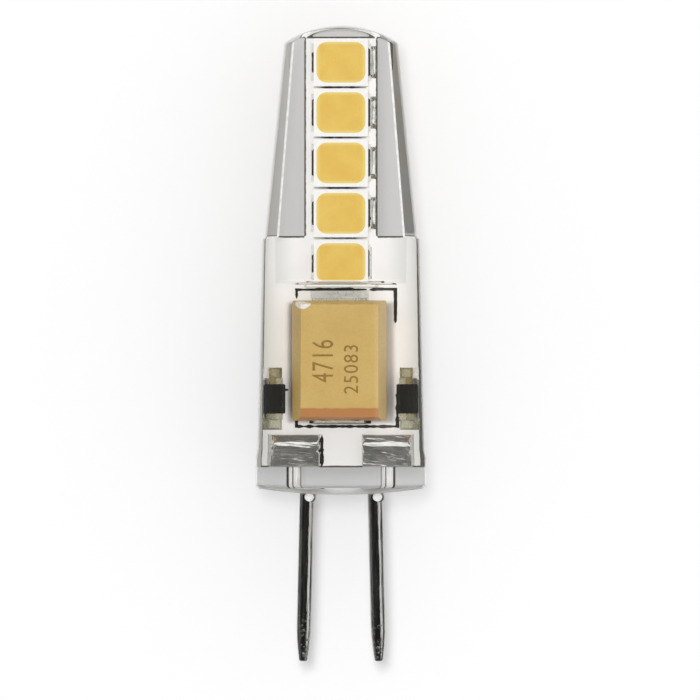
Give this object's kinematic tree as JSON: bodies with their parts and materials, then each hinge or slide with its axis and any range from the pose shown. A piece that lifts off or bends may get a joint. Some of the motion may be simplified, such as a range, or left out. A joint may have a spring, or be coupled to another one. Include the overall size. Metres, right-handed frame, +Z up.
{
  "type": "led capsule bulb",
  "caption": "Small LED capsule bulb: surface-mount emitters and their supply board cast in a clear tapered body with flat windows, on contact pins for a low-voltage pin holder.",
  "frame": {"origin": "on the table, under the middle of the bulb's length", "axes": "+Y along the bulb from the pins to the dome, +Z up, out of the board's front, +X across the board"},
  "size_m": [0.01, 0.0374, 0.01],
  "materials": {
    "clear_silicone": "clear and glossy",
    "white_board": "satin white",
    "white_housing": "matt white",
    "yellow_phosphor": "matt yellow, fine grained",
    "tinned_metal": "bright tin plating",
    "solder": "bright solder",
    "nickel_pin": "bright nickel plating",
    "ochre_moulding": "satin ochre",
    "black_moulding": "matt black",
    "dark_ceramic": "black glaze on ceramic"
  },
  "bodies": {
    "root": {"capacitor_body": "ochre_moulding", "capacitor_tab_lower": "tinned_metal", "capacitor_tab_upper": "tinned_metal", "circuit_board": "white_board", "contact_pin_left": "nickel_pin", "contact_pin_right": "nickel_pin", "diode_back_left_body": "black_moulding", "diode_back_left_leads": "tinned_metal", "diode_back_right_body": "black_moulding", "diode_back_right_leads": "tinned_metal", "diode_front_left_body": "black_moulding", "diode_front_left_leads": "tinned_metal", "diode_front_right_body": "black_moulding", "diode_front_right_leads": "tinned_metal", "envelope": "clear_silicone", "led_back_1_housing": "white_housing", "led_back_1_phosphor": "yellow_phosphor", "led_back_1_terminals": "tinned_metal", "led_back_2_housing": "white_housing", "led_back_2_phosphor": "yellow_phosphor", "led_back_2_terminals": "tinned_metal", "led_back_3_housing": "white_housing", "led_back_3_phosphor": "yellow_phosphor", "led_back_3_terminals": "tinned_metal", "led_back_4_housing": "white_housing", "led_back_4_phosphor": "yellow_phosphor", "led_back_4_terminals": "tinned_metal", "led_back_5_housing": "white_housing", "led_back_5_phosphor": "yellow_phosphor", "led_back_5_terminals": "tinned_metal", "led_front_1_housing": "white_housing", "led_front_1_phosphor": "yellow_phosphor", "led_front_1_terminals": "tinned_metal", "led_front_2_housing": "white_housing", "led_front_2_phosphor": "yellow_phosphor", "led_front_2_terminals": "tinned_metal", "led_front_3_housing": "white_housing", "led_front_3_phosphor": "yellow_phosphor", "led_front_3_terminals": "tinned_metal", "led_front_4_housing": "white_housing", "led_front_4_phosphor": "yellow_phosphor", "led_front_4_terminals": "tinned_metal", "led_front_5_housing": "white_housing", "led_front_5_phosphor": "yellow_phosphor", "led_front_5_terminals": "tinned_metal", "resistor_left_body": "dark_ceramic", "resistor_left_ends": "tinned_metal", "resistor_right_body": "dark_ceramic", "resistor_right_ends": "tinned_metal", "solder_left": "solder", "solder_right": "solder"}
  },
  "joints": []
}
